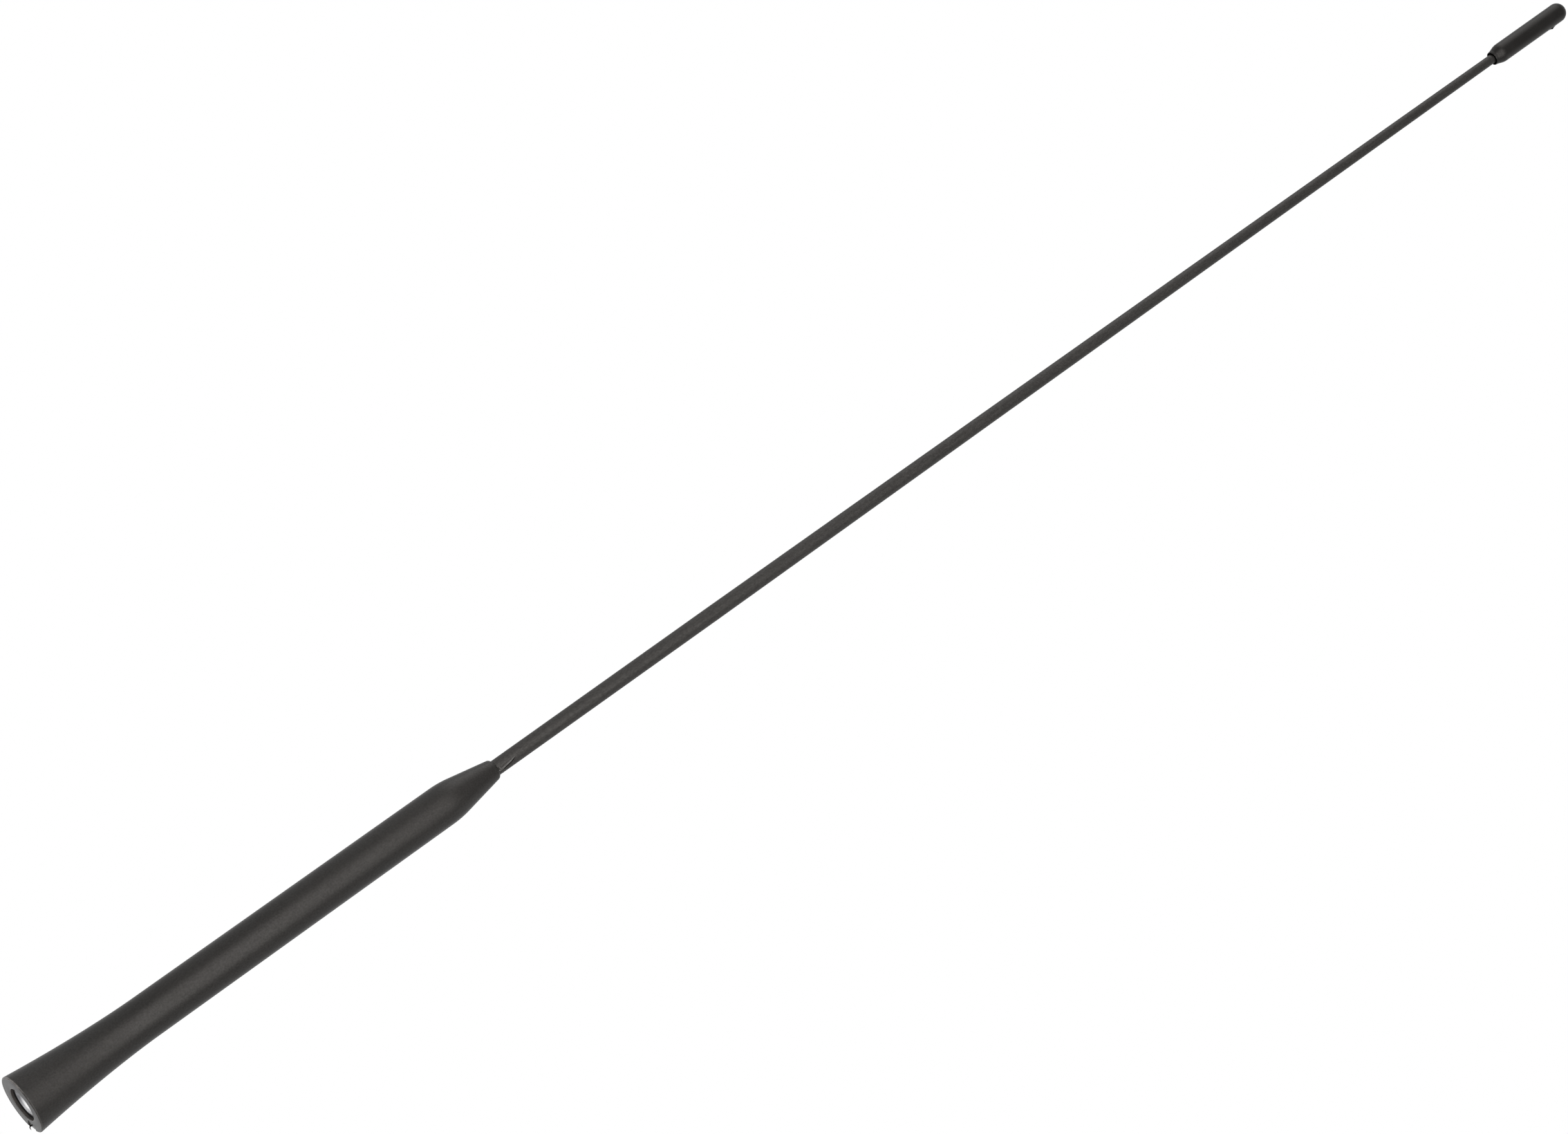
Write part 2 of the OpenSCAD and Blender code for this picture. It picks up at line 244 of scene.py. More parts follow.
class Shader:
    """A node material under construction, with short calls for the nodes that it uses."""

    def __init__(self, name):
        self.material = bpy.data.materials.new(name)
        self.material.use_nodes = True
        self.nodes = self.material.node_tree.nodes
        self.links = self.material.node_tree.links
        self.surface = self.nodes["Principled BSDF"]
        coordinates = self.nodes.new("ShaderNodeTexCoord")
        self.place = coordinates.outputs["Object"]
        self.facing = coordinates.outputs["Normal"]

    def stretched(self, along):
        """Object coordinates with the Z axis scaled, so that a pattern runs along the mast."""
        mapping = self.nodes.new("ShaderNodeMapping")
        mapping.inputs["Scale"].default_value = (1, 1, along)
        self.links.new(self.place, mapping.inputs["Vector"])
        return mapping.outputs["Vector"]

    def noise(self, size, detail=2.0, along=1.0):
        """Noise whose blotches are about size metres across."""
        node = self.nodes.new("ShaderNodeTexNoise")
        node.inputs["Scale"].default_value = 1 / size
        node.inputs["Detail"].default_value = detail
        node.inputs["Roughness"].default_value = 0.5
        vector = self.stretched(along) if along != 1 else self.place
        self.links.new(vector, node.inputs["Vector"])
        return node.outputs["Fac"]

    def rings(self, scale, distortion):
        """Wavy rings round the Z axis."""
        node = self.nodes.new("ShaderNodeTexWave")
        node.wave_type = "RINGS"
        node.rings_direction = "Z"
        node.inputs["Scale"].default_value = scale
        node.inputs["Distortion"].default_value = distortion
        self.links.new(self.place, node.inputs["Vector"])
        return node.outputs["Fac"]

    def ramp(self, value, low, high, out_low, out_high):
        """Maps value from low..high to out_low..out_high."""
        node = self.nodes.new("ShaderNodeMapRange")
        node.inputs["From Min"].default_value = low
        node.inputs["From Max"].default_value = high
        node.inputs["To Min"].default_value = out_low
        node.inputs["To Max"].default_value = out_high
        self.links.new(value, node.inputs["Value"])
        return node.outputs["Result"]

    def rising(self, value, low, high):
        """Share that goes from 0 at low to 1 at high."""
        return self.ramp(value, low, high, 0, 1)

    def falling(self, value, low, high):
        """Share that goes from 1 at low to 0 at high."""
        return self.ramp(value, low, high, 1, 0)

    def blend(self, share, first, second):
        """Colour between first and second."""
        node = self.nodes.new("ShaderNodeMix")
        node.data_type = "RGBA"
        self.links.new(share, node.inputs["Factor"])
        for socket, colour in (("A", first), ("B", second)):
            target = [i for i in node.inputs if i.name == socket and i.type == "RGBA"][0]
            if isinstance(colour, tuple):
                target.default_value = (*colour, 1)
            else:
                self.links.new(colour, target)
        return [o for o in node.outputs if o.type == "RGBA"][0]

    def patchy(self, pattern, first, second, low=0.35, high=0.65):
        """Colour that changes from first to second as the pattern rises."""
        return self.blend(self.rising(pattern, low, high), first, second)

    def bump(self, height, depth):
        """Bump of the given depth in metres."""
        node = self.nodes.new("ShaderNodeBump")
        node.inputs["Strength"].default_value = 1
        node.inputs["Distance"].default_value = depth
        self.links.new(height, node.inputs["Height"])
        return node.outputs["Normal"]

    def part_of(self, vector, axis):
        """One coordinate of a vector."""
        split = self.nodes.new("ShaderNodeSeparateXYZ")
        self.links.new(vector, split.inputs[0])
        return split.outputs[axis]

    def height(self):
        """Height above the foot's end face."""
        return self.part_of(self.place, "Z")

    def radius(self):
        """Distance from the mast's axis."""
        flat = self.nodes.new("ShaderNodeVectorMath")
        flat.operation = "MULTIPLY"
        flat.inputs[1].default_value = (1, 1, 0)
        self.links.new(self.place, flat.inputs[0])
        length = self.nodes.new("ShaderNodeVectorMath")
        length.operation = "LENGTH"
        self.links.new(flat.outputs["Vector"], length.inputs[0])
        return length.outputs["Value"]

    def combined(self, operation, first, second):
        """Result of a sum on two values, either of which may be a number."""
        node = self.nodes.new("ShaderNodeMath")
        node.operation = operation
        for socket, value in zip(node.inputs, (first, second)):
            if isinstance(value, bpy.types.NodeSocket):
                self.links.new(value, socket)
            else:
                socket.default_value = value
        return node.outputs[0]

    def product(self, first, second):
        """First value times the second."""
        return self.combined("MULTIPLY", first, second)

    def larger(self, first, second):
        """The larger one of two values."""
        return self.combined("MAXIMUM", first, second)

    def connect(self, **sockets):
        """Sets or links the surface's sockets, named in lower case."""
        names = {name.lower().replace(" ", "_"): name for name in self.surface.inputs.keys()}
        for key, value in sockets.items():
            target = self.surface.inputs[names[key]]
            if isinstance(value, bpy.types.NodeSocket):
                self.links.new(value, target)
            else:
                target.default_value = value


def moulded_plastic():
    """Soft-touch black plastic with the grain of a spark-eroded mould, smoother on the end face."""
    shader = Shader("soft_touch_plastic")
    height, radius = shader.height(), shader.radius()
    blotches = shader.noise(9 * MM, detail=3, along=0.35)
    grain = shader.noise(0.3 * MM, detail=3)
    specks = shader.noise(0.45 * MM)
    scuffs = shader.ramp(shader.noise(1.2 * MM, detail=3), 0.35, 0.65, 0.5, 1)
    plain = shader.patchy(blotches, (0.0035, 0.0033, 0.0031), (0.0060, 0.0054, 0.0050))
    # Painted highlight: the foot's rounded rim is painted light grey, most of all on its -X side,
    # broken up by scuff noise
    rim = shader.product(
        shader.rising(radius, 7.7 * MM, 8.05 * MM), shader.falling(height, 0.2 * MM, 0.5 * MM)
    )
    side = shader.ramp(shader.part_of(shader.place, "X"), -5 * MM, -2 * MM, 1, 0.2)
    painted_highlight = shader.product(shader.product(rim, side), scuffs)
    with_rim_highlight = shader.blend(painted_highlight, plain, (0.28, 0.265, 0.25))
    # The end face and the wall of its recess copy a polished part of the mould
    face = shader.product(
        shader.rising(shader.part_of(shader.facing, "Z"), -0.8, -0.97),
        shader.ramp(shader.part_of(shader.place, "Y"), -5 * MM, 8 * MM, 0.12, 1),
    )
    recess = shader.product(
        shader.falling(radius, 4.8 * MM, 4.9 * MM), shader.falling(height, 1.1 * MM, 1.2 * MM)
    )
    # Dust lies in the recess
    dust = shader.product(recess, shader.falling(height, 0.7 * MM, 0.95 * MM))
    dusty = shader.blend(shader.product(dust, scuffs), with_rim_highlight, (0.12, 0.103, 0.092))
    # Painted light: the gate stub, the only part below the end face, sits in shade and is painted
    # pale to stand in for the light it lacks
    torn_with_painted_light = shader.rising(height, -0.02 * MM, -0.15 * MM)
    shader.connect(
        base_color=shader.blend(torn_with_painted_light, dusty, (0.55, 0.53, 0.51)),
        roughness=shader.ramp(blotches, 0.3, 0.7, 0.39, 0.44),
        ior=1.305,
        specular_ior_level=shader.ramp(specks, 0.3, 0.7, 0.41, 0.59),
        specular_tint=WARM_TINT,
        coat_weight=shader.larger(face, recess),
        coat_roughness=0.3,
        coat_ior=1.33,
        normal=shader.bump(grain, 0.017 * MM),
    )
    return shader.material


def flash_plastic():
    """Thin flash of the same plastic, rougher where it tore, pale partly from the tear and partly
    as a painted highlight, with painted shade in its groove.
    """
    shader = Shader("flash_plastic")
    height = shader.height()
    tears = shader.noise(0.5 * MM, detail=3, along=0.4)
    # Pale partly as tore plastic and partly as a painted highlight on the leaf and crumb
    pale = shader.patchy(tears, (0.050, 0.047, 0.044), (0.080, 0.075, 0.070), 0.3, 0.7)
    # Painted shade: the bottom of the groove on the leaf's +X side is painted near-black and given
    # no reflection. It slants as the leaf does
    slant = shader.combined("ADD", shader.part_of(shader.place, "X"), shader.product(height, 0.13))
    crest = shader.larger(
        shader.rising(shader.radius(), 2.18 * MM, 2.32 * MM),
        shader.falling(slant, 20.86 * MM, 20.96 * MM),
    )
    lit = shader.larger(crest, shader.falling(height, 151.8 * MM, 152.6 * MM))
    shader.connect(
        base_color=shader.blend(lit, (0.012, 0.011, 0.010), pale),
        specular_ior_level=shader.product(lit, 0.5),
        roughness=shader.ramp(tears, 0.3, 0.7, 0.4, 0.55),
        ior=1.4,
        normal=shader.bump(tears, 0.02 * MM),
    )
    return shader.material


def sheath_plastic():
    """Smooth drawn sleeve with faint mottling."""
    shader = Shader("sheath_plastic")
    blotches = shader.noise(3 * MM, detail=3, along=0.3)
    specks = shader.noise(0.4 * MM, along=0.5)
    # Handling has polished its lower end
    rubbing = shader.ramp(shader.height(), 150 * MM, 500 * MM, 1.04, 0.84)
    sheen = shader.ramp(specks, 0.3, 0.7, 0.39, 0.61)
    shader.connect(
        base_color=shader.patchy(blotches, (0.0055, 0.0052, 0.0048), (0.0085, 0.0078, 0.0072)),
        roughness=shader.ramp(blotches, 0.3, 0.7, 0.44, 0.48),
        ior=1.345,
        specular_ior_level=shader.product(sheen, rubbing),
        specular_tint=WARM_TINT,
        normal=shader.bump(specks, 0.008 * MM),
    )
    return shader.material


def cap_plastic():
    """Glossier black plastic of the tip cap."""
    shader = Shader("cap_plastic")
    blotches = shader.noise(4 * MM, detail=3)
    ripple = shader.noise(0.5 * MM)
    shader.connect(
        base_color=shader.patchy(blotches, (0.0025, 0.0024, 0.0022), (0.0045, 0.0041, 0.0038)),
        roughness=shader.ramp(blotches, 0.3, 0.7, 0.34, 0.38),
        ior=1.24,
        specular_tint=WARM_TINT,
        normal=shader.bump(ripple, 0.010 * MM),
    )
    return shader.material


def plated_metal():
    """Tarnished nickel plate with the lathe's fine rings, with a painted highlight round the
    thread's mouth and painted shade outside the countersink.
    """
    shader = Shader("plated_metal")
    across, radius = shader.part_of(shader.place, "X"), shader.radius()
    tarnish = shader.noise(1.1 * MM, detail=3)
    dull = shader.patchy(tarnish, (0.24, 0.24, 0.25), (0.17, 0.17, 0.18), 0.35, 0.7)
    # Painted highlight: the metal is painted lighter towards the +X side of the countersink
    side = shader.product(
        shader.rising(across, -1.4 * MM, 0.9 * MM),
        shader.ramp(across, 1.2 * MM, 4 * MM, 1, 0.3),
    )
    painted_highlight = shader.blend(side, dull, (0.52, 0.52, 0.53))
    # Painted highlight: a near-white ring round the thread's mouth, strongest towards +X
    band = shader.product(
        shader.falling(radius, 3.05 * MM, 3.25 * MM),
        shader.ramp(across, -2 * MM, 0.6 * MM, 0.1, 1),
    )
    highlight_share = shader.product(band, shader.ramp(across, 1.4 * MM, 3 * MM, 1, 0.1))
    metal_with_painted_highlight = shader.blend(highlight_share, painted_highlight, (0.95, 0.95, 0.95))
    # Painted shade: the flange face outside the countersink, in the corner where it meets the
    # recess wall, is painted near-black
    gap_shade = shader.rising(radius, 4.05 * MM, 4.2 * MM)
    shader.connect(
        base_color=shader.blend(gap_shade, metal_with_painted_highlight, (0.03, 0.03, 0.035)),
        metallic=1.0,
        roughness=shader.ramp(tarnish, 0.3, 0.7, 0.24, 0.34),
        normal=shader.bump(shader.rings(1800, 0.6), 0.003 * MM),
    )
    return shader.material


def glass_fibre():
    """Pale pultruded glass fibre, with its strands along the rod."""
    shader = Shader("glass_fibre")
    strands = shader.noise(0.25 * MM, detail=3, along=0.02)
    shader.connect(
        base_color=shader.patchy(strands, (0.62, 0.57, 0.40), (0.80, 0.76, 0.60), 0.3, 0.7),
        roughness=shader.ramp(strands, 0.3, 0.7, 0.35, 0.55),
        normal=shader.bump(strands, 0.01 * MM),
    )
    return shader.material


def copper():
    """Bare copper wire, a little dulled."""
    shader = Shader("copper")
    dull = shader.noise(2 * MM, detail=3)
    shader.connect(
        base_color=shader.patchy(dull, (0.80, 0.40, 0.22), (0.55, 0.26, 0.14)),
        metallic=1.0,
        roughness=shader.ramp(dull, 0.3, 0.7, 0.25, 0.45),
        normal=shader.bump(dull, 0.005 * MM),
    )
    return shader.material


def rounded(before, corner, after, radius, steps=16):
    """Points of the arc that rounds a corner of a half section."""
    start, middle, end = Vector(before), Vector(corner), Vector(after)
    to_start, to_end = (start - middle).normalized(), (end - middle).normalized()
    half = to_start.angle(to_end) / 2
    centre = middle + (to_start + to_end).normalized() * radius / math.sin(half)
    arm = middle + to_start * radius / math.tan(half) - centre
    sweep = math.pi - 2 * half
    if to_start.x * to_end.y - to_start.y * to_end.x > 0:
        sweep = -sweep
    points = []
    for i in range(steps + 1):
        turn = sweep * i / steps
        points.append((
            centre.x + arm.x * math.cos(turn) - arm.y * math.sin(turn),
            centre.y + arm.x * math.sin(turn) + arm.y * math.cos(turn),
        ))
    return points


def skin(shell, first, second):
    """Joins two closed rows of a shell's vertices by a band of faces. A row may be one point."""
    count = max(len(first), len(second))
    for i in range(count):
        j = (i + 1) % count
        corners = [
            first[i % len(first)], first[j % len(first)],
            second[j % len(second)], second[i % len(second)],
        ]
        shell.faces.new(list(dict.fromkeys(corners)))


def smooth(mesh):
    """Smooth shading that breaks at sharp edges."""
    mesh.shade_smooth()
    mesh.set_sharp_from_angle(angle=SHARP_ANGLE)


def make_piece(name, shell, material):
    """Turns a closed bmesh shell in millimetres into a smooth-shaded object in metres."""
    bmesh.ops.recalc_face_normals(shell, faces=shell.faces)
    bmesh.ops.scale(shell, vec=(MM, MM, MM), verts=shell.verts)
    mesh = bpy.data.meshes.new(name)
    shell.to_mesh(mesh)
    shell.free()
    mesh.materials.append(material)
    piece = bpy.data.objects.new(name, mesh)
    bpy.context.scene.collection.objects.link(piece)
    smooth(mesh)
    return piece


def lathe(name, rings, material, closed=False):
    """Shell of rings round the Z axis.

    A ring's radius may be a function of azimuth and height, or 0 for a point.
    """
    shell = bmesh.new()
    rows = []
    for radius, height in rings:
        if radius == 0:
            rows.append([shell.verts.new((0, 0, height))])
            continue
        row = []
        for i in range(SIDES):
            turn = 2 * math.pi * i / SIDES
            r = radius(turn, height) if callable(radius) else radius
            row.append(shell.verts.new((r * math.cos(turn), r * math.sin(turn), height)))
        rows.append(row)
    for first, second in zip(rows, rows[1:] + rows[:1] if closed else rows[1:]):
        skin(shell, first, second)
    return make_piece(name, shell, material)


def loft(name, sections, material):
    """Shell through sections that are rings of points in millimetres, with flat ends."""
    shell = bmesh.new()
    rows = [[shell.verts.new(point) for point in section] for section in sections]
    for first, second in zip(rows, rows[1:]):
        skin(shell, first, second)
    shell.faces.new(rows[0])
    shell.faces.new(rows[-1])
    return make_piece(name, shell, material)


def oval(centre, across, up, sides=20):
    """Ring of points round a centre, with half axes across and up."""
    centre, across, up = Vector(centre), Vector(across), Vector(up)
    turns = [2 * math.pi * i / sides for i in range(sides)]
    return [centre + across * math.cos(turn) + up * math.sin(turn) for turn in turns]


def combine(piece, tool, operation):
    """Adds a tool's shape to a piece or cuts it away, and removes the tool."""
    modifier = piece.modifiers.new("combine", "BOOLEAN")
    modifier.operation = operation
    modifier.solver = "EXACT"
    modifier.object = tool
    evaluated = piece.evaluated_get(bpy.context.evaluated_depsgraph_get())
    shaped = bpy.data.meshes.new_from_object(evaluated)
    piece.modifiers.clear()
    piece.data = shaped
    bpy.data.objects.remove(tool)
    smooth(shaped)


def on_foot(radius, azimuth, height):
    """Point near the foot, with the azimuth in degrees from +X towards +Y."""
    turn = math.radians(azimuth)
    return Vector((radius * math.cos(turn), radius * math.sin(turn), height))


def on_rod(across, lift, height):
    """Point on the rod's -Y side, given across as its distance from the axis as seen from -Y."""
    turn = math.asin(across / ROD_R)
    return Vector(((ROD_R + lift) * math.sin(turn), -(ROD_R + lift) * math.cos(turn), height))


def between(points, at):
    """Value at a place on a line through points (place, value)."""
    for (start, first), (end, last) in zip(points, points[1:]):
        if at <= end:
            return first + (last - first) * (at - start) / (end - start)
    return points[-1][1]


def flare_radius(height):
    """Radius of the flared foot, which narrows in a curve to the grip's."""
    return GRIP_R + (FOOT_R - GRIP_R) * (1 - height / FLARE_L) ** FLARE_POWER


def rod_radius(height):
    """Radius of the rod in its tapered part."""
    return ROD_R + (ROD_TOP_R - ROD_R) * (height - TAPER_Z) / (CAP_BORE_END_Z - TAPER_Z)


def make_base(material):
    """Base moulding: a closed shell with its cavity for the ferrule, gate recess and gate stub."""
    rim_top = (flare_radius(RIM_TOP_Z), RIM_TOP_Z)
    shoulder, mouth = (GRIP_TOP_R, SHOULDER_Z), (CONE_TIP_R, BASE_L)
    outside = [(RECESS_R + RECESS_EDGE, FACE_DISH), *FACE_RISE]
    outside += rounded((RECESS_R, 0), (FOOT_R, 0), rim_top, RIM_ROUND_R, 8)
    for i in range(1, FLARE_STEPS + 1):
        height = FLARE_L * i / FLARE_STEPS
        outside.append((flare_radius(height), height))
    outside += rounded((GRIP_R, FLARE_L), shoulder, mouth, SHOULDER_ROUND_R)
    outside += rounded(shoulder, mouth, (0, BASE_L), MOUTH_ROUND_R)
    bore, tail = ROD_R + CLEARANCE, TAIL_R + CLEARANCE
    flange, lip = FLANGE_R + CLEARANCE, FLANGE_R - BEVEL + CLEARANCE
    knurl, groove = KNURL_R + CLEARANCE, GROOVE_R + CLEARANCE
    inside = [
        (bore, BASE_L), (bore, FERRULE_TOP_Z), (tail, FERRULE_TOP_Z), (tail, TAIL_Z),
        (knurl, TAIL_Z), (knurl, KNURL_Z), (groove, KNURL_Z), (groove, GROOVE_Z),
        (lip, GROOVE_Z), (flange, GROOVE_Z - BEVEL), (flange, FERRULE_Z + BEVEL), (lip, FERRULE_Z),
        (RECESS_R, FERRULE_Z), (RECESS_R, FACE_DISH + RECESS_EDGE),
        (RECESS_R + 0.3 * RECESS_EDGE, FACE_DISH + 0.3 * RECESS_EDGE),
    ]
    base = lathe("moulded_base", outside + inside, material, closed=True)
    combine(base, gate_cutter(material), "DIFFERENCE")
    combine(base, gate_stub(material), "UNION")
    return base


def gate_cutter(material):
    """Space of the gate recess: round towards the axis and open through the rim."""
    turns = [math.pi * (0.5 + i / 24) for i in range(25)]
    outline = [(GATE_R * math.cos(t), GATE_R * math.sin(t)) for t in turns]
    outline += [(GATE_REACH, -GATE_R), (GATE_REACH, GATE_R)]
    cos, sin = math.cos(GATE_AZIMUTH), math.sin(GATE_AZIMUTH)
    sections = []
    for height, grow in GATE_WALLS:
        ring = []
        for x, y in outline:
            x, y = GATE_CENTRE + x * (1 + grow / GATE_R), y * (1 + grow / GATE_R)
            ring.append((x * cos - y * sin, x * sin + y * cos, height))
        sections.append(ring)
    return loft("gate_cutter", sections, material)


def gate_stub(material):
    """Torn stub of the gate, which leans along the rim and hooks over at its end."""
    places = [on_foot(*station[:3]) for station in GATE_STUB]
    sections = []
    for i, (_, azimuth, _, width, thickness) in enumerate(GATE_STUB):
        ahead = places[min(i + 1, len(places) - 1)] - places[max(i - 1, 0)]
        outward = on_foot(1, azimuth, 0)
        along = ahead.cross(outward).normalized()
        sections.append(oval(places[i], outward * thickness, along * width))
    return loft("gate_stub", sections, material)


def make_flash(material):
    """Leaf of flash that lies bent on the rod at the mouth, with a groove along its +X side."""
    rows, columns = 40, 42
    sections = []
    for i in range(rows + 1):
        height = FLASH_Z + FLASH_L * i / rows
        fade = between(FLASH_FADE, i / rows)
        lower, upper = [], []
        for j in range(columns + 1):
            side = FLASH_EDGE + FLASH_W * j / columns
            across = between(FLASH_PATH, height) + side * (0.5 + 0.5 * fade)
            lift = FLASH_SKIN + between(FLASH_SECTION, side) * fade
            lower.append(on_rod(across, -FLASH_SINK, height))
            upper.append(on_rod(across, lift, height))
        sections.append(lower + upper[::-1])
    return loft("flash_leaf", sections, material)


def make_crumb(material):
    """Crumb of flash that lies across the leaf's foot."""
    sections = []
    for i in range(9):
        along = i / 4 - 1
        size = CRUMB_TIP_R + CRUMB_R * max(0, 1 - along * along) ** 0.5
        across, height = CRUMB_ACROSS + CRUMB_REACH * along, CRUMB_Z + CRUMB_SLANT * along
        place = on_rod(across, CRUMB_LIFT, height)
        sections.append(oval(place, (0, -1.1 * size, 0), (-0.3 * size, 0, size), 12))
    return loft("flash_crumb", sections, material)


def thread_radius(turn, height):
    """Bore with a right-hand thread that runs out at its ends, and an unevenly cut countersink."""
    phase = (height / THREAD_PITCH - turn / (2 * math.pi)) % 1
    flank = THREAD_HEIGHT * math.tan(THREAD_FLANK)
    rise = (THREAD_PITCH / 16 + flank - abs(phase - 0.5) * THREAD_PITCH) / flank
    fade = (THREAD_END_Z - height) / THREAD_PITCH
    thread = BORE_R + THREAD_HEIGHT * max(0, min(1, rise)) * max(0, min(1, fade))
    depth = height - FERRULE_Z
    uneven = COUNTERSINK_SPREAD - COUNTERSINK_SHIFT * math.cos(turn) - COUNTERSINK_SLOPE * depth
    return max(thread, COUNTERSINK_R - depth, COUNTERSINK_R + uneven)


def knurl_radius(turn, height):
    """Pointed ridges round the knurled band."""
    phase = turn / (2 * math.pi) * KNURL_RIDGES % 1
    return KNURL_R - KNURL_DEPTH * min(phase, 1 - phase) * 2


def make_ferrule(material):
    """Turned metal bush with its thread, flange, knurled band and crimped tail."""
    rings = [(0, THREAD_END_Z + DRILL_POINT)]
    for i in range(THREAD_STEPS + 1):
        height = THREAD_END_Z + (FERRULE_Z - THREAD_END_Z) * i / THREAD_STEPS
        rings.append((thread_radius, height))
    rings += [
        (FLANGE_R - BEVEL, FERRULE_Z), (FLANGE_R, FERRULE_Z + BEVEL),
        (FLANGE_R, GROOVE_Z - BEVEL), (FLANGE_R - BEVEL, GROOVE_Z), (GROOVE_R, GROOVE_Z),
        (GROOVE_R, KNURL_Z), (knurl_radius, KNURL_Z), (knurl_radius, TAIL_Z), (TAIL_R, TAIL_Z),
    ]
    for crimp in CRIMPS_Z:
        for i in range(13):
            along = i / 6 - 1
            sink = math.cos(along * math.pi / 2) ** 0.5 if abs(along) < 1 else 0
            rings.append((TAIL_R - CRIMP_DEPTH * sink, crimp + CRIMP_HALF_W * along))
    rings += [
        (TAIL_R, FERRULE_TOP_Z), (SOCKET_R, FERRULE_TOP_Z), (SOCKET_R, SOCKET_FLOOR_Z),
        (0, SOCKET_FLOOR_Z),
    ]
    return lathe("turned_ferrule", rings, material)


def make_sheath(material):
    """Sleeve over the core: straight at first, then tapered."""
    rings = [
        (ROD_R, FERRULE_TOP_Z), (ROD_R, TAPER_Z), (ROD_TOP_R, CAP_BORE_END_Z),
        (ROD_TOP_R - SHEATH_WALL, CAP_BORE_END_Z), (ROD_R - SHEATH_WALL, TAPER_Z),
        (ROD_R - SHEATH_WALL, FERRULE_TOP_Z),
    ]
    return lathe("drawn_sheath", rings, material, closed=True)


def make_cap(material):
    """Tip cap: funnel, lip, short cone, body and domed end, with a burr on its +X side."""
    lip, cone_start = (CAP_LIP_R, CAP_Z), (CAP_CONE_R, CAP_CONE_Z)
    body_start, body_end = (CAP_R, CAP_BODY_Z), (CAP_END_R, MAST_L - CAP_END_R)
    rings = [
        (0, CAP_BORE_END_Z), (ROD_TOP_R + CLEARANCE, CAP_BORE_END_Z),
        (rod_radius(CAP_FUNNEL_Z) + CLEARANCE, CAP_FUNNEL_Z), (CAP_MOUTH_R, CAP_Z),
    ]
    rings += rounded((0, CAP_Z), lip, cone_start, CAP_LIP_ROUND_R, 6)
    rings += rounded(lip, cone_start, body_start, CAP_CONE_ROUND_R, 6)
    rings += rounded(cone_start, body_start, body_end, CAP_BODY_ROUND_R)
    for i in range(DOME_STEPS):
        turn = math.pi / 2 * i / DOME_STEPS
        rings.append((CAP_END_R * math.cos(turn), MAST_L - CAP_END_R * (1 - math.sin(turn))))
    rings.append((0, MAST_L))
    cap = lathe("moulded_cap", rings, material)
    sections = []
    for rise, lift in BURR:
        centre = (CAP_END_R - BURR_SINK, 0, BURR_Z + rise)
        sections.append(oval(centre, (BURR_SINK + lift, 0, 0), (0, 0.12 + 0.7 * lift, 0), 24))
    combine(cap, loft("burr", sections, material), "UNION")
    return cap


def dress_nodes():
    """Gives each CAD node its material, and draws those that show anew with finer detail."""
    finishes = {
        "base_moulding": moulded_plastic(),
        "threaded_ferrule": plated_metal(),
        "core_rod": glass_fibre(),
        "antenna_wire": copper(),
        "rod_sheath": sheath_plastic(),
        "tip_cap": cap_plastic(),
    }
    for name, material in finishes.items():
        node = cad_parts[name]
        node.data.materials.clear()
        node.data.materials.append(material)
    redrawn = (
        ("base_moulding", make_base, "soft_touch_plastic"),
        ("threaded_ferrule", make_ferrule, "plated_metal"),
        ("rod_sheath", make_sheath, "sheath_plastic"),
        ("tip_cap", make_cap, "cap_plastic"),
    )
    for name, make, slot in redrawn:
        piece = make(finishes[name])
        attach(piece, "root")
        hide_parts(name)
    torn_with_painted_light = flash_plastic()
    for piece in (make_flash(torn_with_painted_light), make_crumb(torn_with_painted_light)):
        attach(piece, "root")


def mix_shaders(tree, share, first, second, output):
    """Sends a mix of two shaders to a node tree's output: the first at share 0, the second at 1."""
    mix = tree.nodes.new("ShaderNodeMixShader")
    tree.links.new(share, mix.inputs["Fac"])
    tree.links.new(first.outputs[0], mix.inputs[1])
    tree.links.new(second.outputs[0], mix.inputs[2])
    tree.links.new(mix.outputs[0], tree.nodes[output].inputs["Surface"])


def seen_directly(tree):
    """Share that is 1 where a surface is seen by the camera, in a reflection or through glass."""
    path = tree.nodes.new("ShaderNodeLightPath")
    share = path.outputs["Is Camera Ray"]
    for ray in ("Is Glossy Ray", "Is Transmission Ray"):
        either = tree.nodes.new("ShaderNodeMath")
        either.operation = "MAXIMUM"
        tree.links.new(share, either.inputs[0])
        tree.links.new(path.outputs[ray], either.inputs[1])
        share = either.outputs[0]
    return share


def make_world():
    """White surroundings that light the mast at a plain level."""
    world = bpy.data.worlds.new("studio")
    bpy.context.scene.world = world
    world.use_nodes = True
    tree = world.node_tree
    shown = tree.nodes["Background"]
    shown.inputs["Color"].default_value = (1, 1, 1, 1)
    shown.inputs["Strength"].default_value = 1.0
    lighting = tree.nodes.new("ShaderNodeBackground")
    lighting.inputs["Color"].default_value = (1, 1, 1, 1)
    lighting.inputs["Strength"].default_value = 0.1
    mix_shaders(tree, seen_directly(tree), lighting, shown, "World Output")


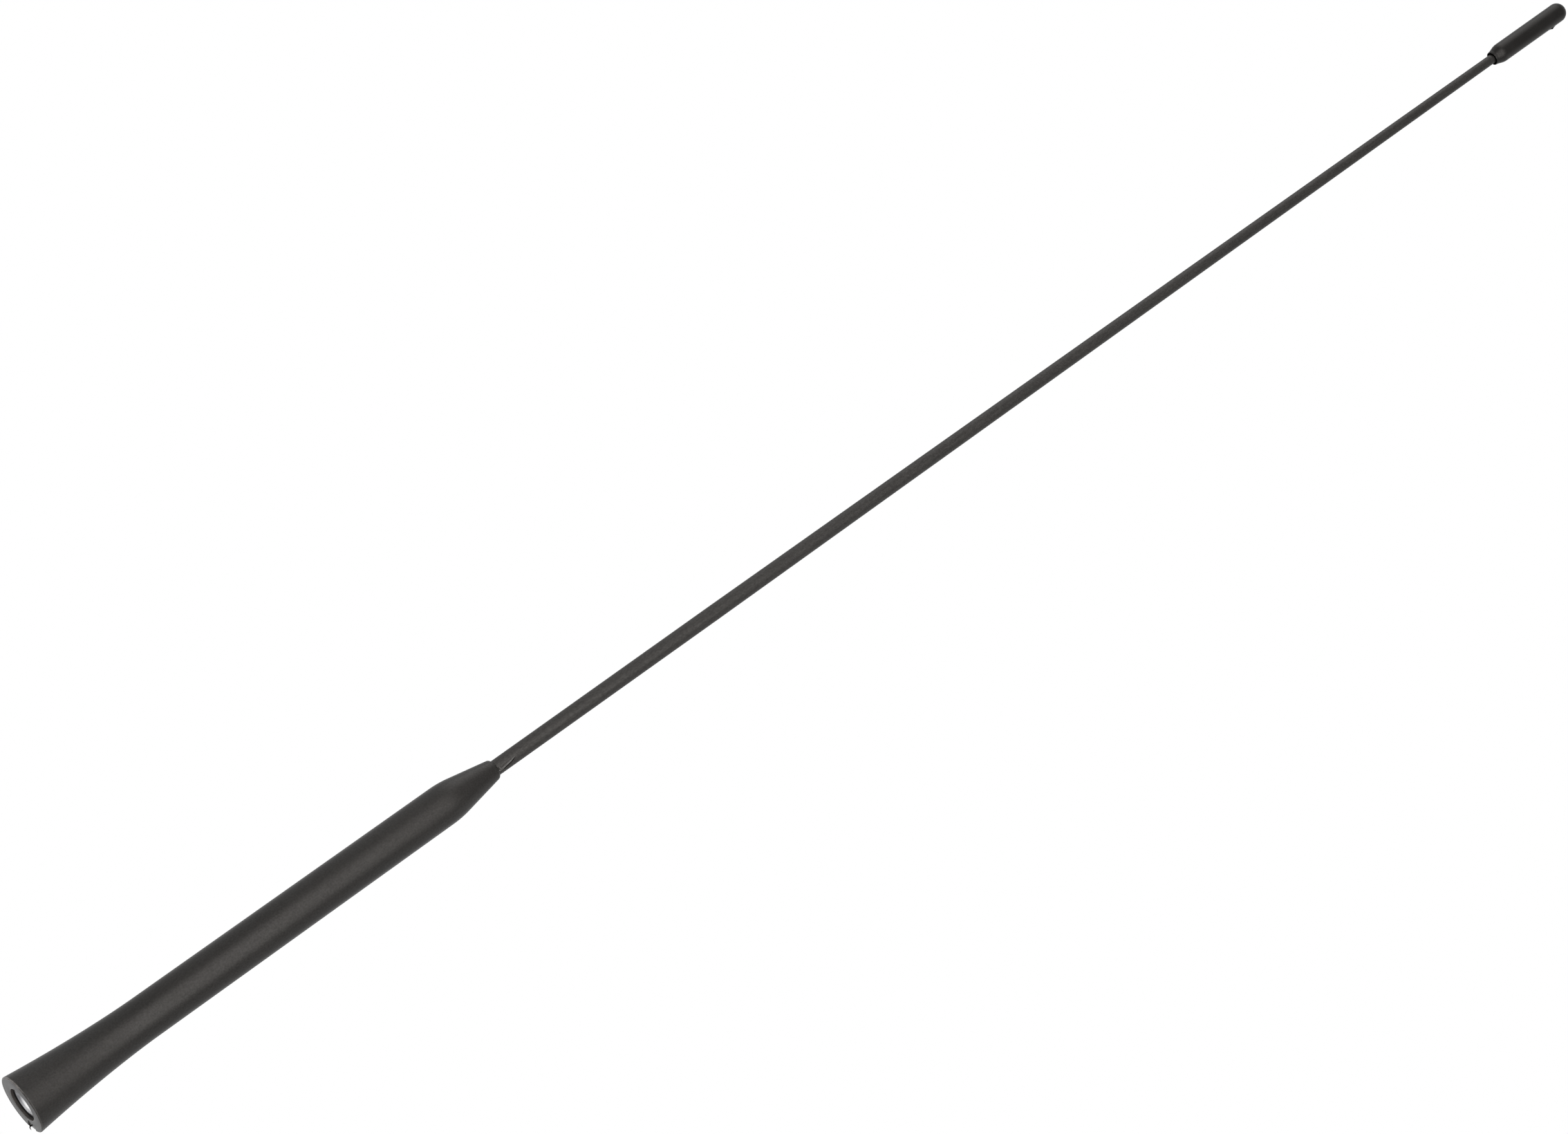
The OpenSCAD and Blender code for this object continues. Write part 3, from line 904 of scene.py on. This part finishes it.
def make_floor():
    """Pale round floor below the camera, which never reaches into the photograph's view."""
    mesh = bpy.data.meshes.new("floor")
    disc = bmesh.new()
    bmesh.ops.create_circle(disc, cap_ends=True, segments=96, radius=FLOOR_RADIUS)
    disc.to_mesh(mesh)
    disc.free()
    floor = bpy.data.objects.new("floor", mesh)
    floor.location.z = FLOOR_Z
    bpy.context.scene.collection.objects.link(floor)
    material = bpy.data.materials.new("floor")
    material.use_nodes = True
    tree = material.node_tree
    pale = tree.nodes["Principled BSDF"]
    pale.inputs["Base Color"].default_value = (0.82, 0.82, 0.82, 1)
    pale.inputs["Roughness"].default_value = 0.9
    # In the mast's reflections it is as white as the surroundings
    white = tree.nodes.new("ShaderNodeEmission")
    white.inputs["Strength"].default_value = 1.0
    reflected = tree.nodes.new("ShaderNodeLightPath").outputs["Is Glossy Ray"]
    mix_shaders(tree, reflected, pale, white, "Material Output")
    mesh.materials.append(material)


def add_soft_lamp(name, azimuth, elevation, width, height, radiance):
    """Lamp that fades towards its edges: three area lamps of growing size, aimed at the mast.

    The azimuth is counted in degrees from -Y towards +X. The area lamps stand a little behind
    each other, because of lamps in one plane only one gives light.
    """
    target = (cad_low + cad_high) / 2
    turn, rise = math.radians(azimuth), math.radians(elevation)
    direction = Vector((
        math.sin(turn) * math.cos(rise), -math.cos(turn) * math.cos(rise), math.sin(rise)
    ))
    for step, growth in enumerate(LAMP_GROWTH):
        data = bpy.data.lights.new(f"{name}_{step}", "AREA")
        data.shape = "RECTANGLE"
        data.size, data.size_y = width * growth, height * growth
        # An area lamp's radiance is its power over pi times its area
        data.energy = radiance / len(LAMP_GROWTH) * math.pi * data.size * data.size_y
        lamp = bpy.data.objects.new(data.name, data)
        lamp.location = target + direction * (LAMP_DISTANCE + LAMP_GAP * step)
        lamp.rotation_euler = direction.to_track_quat("Z", "Y").to_euler()
        bpy.context.scene.collection.objects.link(lamp)


point_camera()
make_world()
make_floor()
dress_nodes()
add_soft_lamp("front", azimuth=7.6, elevation=8.5, width=4.3, height=0.38, radiance=16.8)
add_soft_lamp("left", azimuth=-72, elevation=35, width=2.6, height=1.0, radiance=3.4)
add_soft_lamp("right", azimuth=84, elevation=25, width=1.6, height=1.6, radiance=0.84)

bpy.context.scene.view_settings.view_transform = "Standard"
